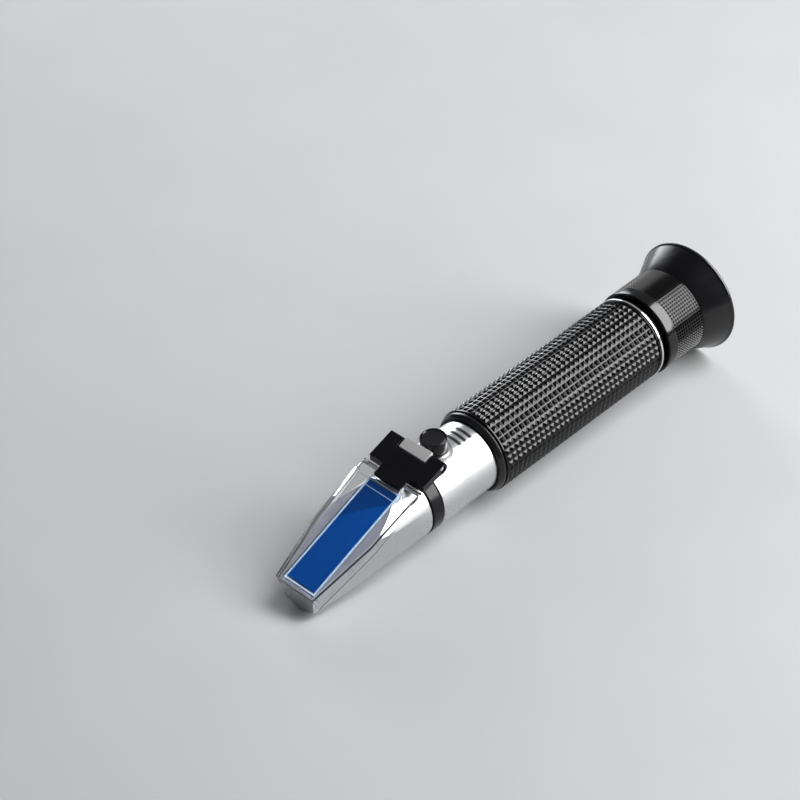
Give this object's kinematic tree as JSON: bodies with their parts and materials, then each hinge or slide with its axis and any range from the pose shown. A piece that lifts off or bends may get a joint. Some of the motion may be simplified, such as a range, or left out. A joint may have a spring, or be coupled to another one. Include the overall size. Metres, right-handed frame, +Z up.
{
  "type": "hand-held refractometer",
  "caption": "Hand-held refractometer for must and wort: prism body under a hinged clear plate, calibration cap, knurled grip, focusing ring and flared eyecup.",
  "frame": {"origin": "centre of the bounding box's base, on the table the instrument lies on", "axes": "+X runs the length of the instrument from the prism end to the eyepiece (the optical axis itself climbs 2.38 degrees towards the eyepiece as it lies), +Z up, on the prism face's side, +Y to the left seen from the prism end looking at the eyepiece"},
  "size_m": [0.1768, 0.0376, 0.0375],
  "materials": {
    "chrome": "polished chrome plate on brass",
    "satin_steel": "satin steel, fine grained",
    "brass": "machined brass",
    "black_anodised": "black anodised, matt inside",
    "black_plastic": "moulded black plastic, fine sheen",
    "grip_rubber": "moulded pyramid-knurled rubber, satin",
    "focus_rubber": "fine square-knurled hard rubber, satin",
    "eyecup_rubber": "soft black rubber, slightly glossy lip",
    "lens_glass": "coated optical glass",
    "prism_glass": "polished blue prism glass",
    "clear_acrylic": "clear moulded acrylic, bright edges",
    "seal_cement": "pale grey sealing cement",
    "bimetal": "rolled bimetal strip"
  },
  "bodies": {
    "housing": {"front_body": "chrome", "measuring_prism": "prism_glass", "prism_seal": "seal_cement", "hinge_bracket": "black_plastic", "hinge_knuckle": "satin_steel", "hinge_pin": "satin_steel", "barrel": "chrome", "calibration_bushing": "brass", "inner_tube": "black_anodised", "front_collar": "black_plastic", "grip_sleeve": "grip_rubber", "grip_end_ring": "chrome", "dust_seal": "black_plastic", "reticle_holder": "black_anodised", "reticle_disc": "lens_glass", "reticle_retainer": "black_anodised", "guide_pin": "satin_steel", "lens_carrier": "black_anodised", "objective_lens": "lens_glass", "objective_retainer": "black_anodised", "bimetal_strip": "bimetal"},
    "lid": {"hinge_block": "black_plastic", "daylight_plate": "clear_acrylic", "plate_pin": "satin_steel"},
    "calibration_cap": {"calibration_cap": "eyecup_rubber"},
    "calibration_screw": {"calibration_screw": "brass"},
    "ocular_cell": {"ocular_cell": "black_anodised", "field_lens": "lens_glass", "lens_spacer": "black_anodised", "eye_lens": "lens_glass", "ocular_retainer": "black_anodised"},
    "focus_ring": {"focus_ring": "focus_rubber", "eyecup": "eyecup_rubber"}
  },
  "joints": [
    {"name": "lid_hinge", "type": "hinge", "parent": "housing", "child": "lid", "pos_m": [-0.03811, 0, 0.02928], "axis": [0, 1, 0], "range_deg": [0, 105]},
    {"name": "calibration_cap_pull", "type": "slide", "parent": "housing", "child": "calibration_cap", "axis": [-0.0415, 0, 0.9991], "range_m": [0, 0.012]},
    {"name": "calibration_screw_turn", "type": "hinge", "parent": "housing", "child": "calibration_screw", "pos_m": [-0.03056, 0, 0.02584], "axis": [-0.0415, 0, 0.9991], "range_deg": [-180, 180]},
    {"name": "eyepiece_travel", "type": "slide", "parent": "housing", "child": "ocular_cell", "axis": [0.9991, 0, 0.0415], "range_m": [-0.0013, 0.0026]},
    {"name": "focus_turn", "type": "hinge", "parent": "ocular_cell", "child": "focus_ring", "pos_m": [0.06876, 0, 0.01796], "axis": [0.9991, 0, 0.0415], "range_deg": [-90, 180]}
  ],
  "couplings": [
    {"joint": "eyepiece_travel", "follows": "focus_turn", "m_per_rad": 0.00079577}
  ]
}
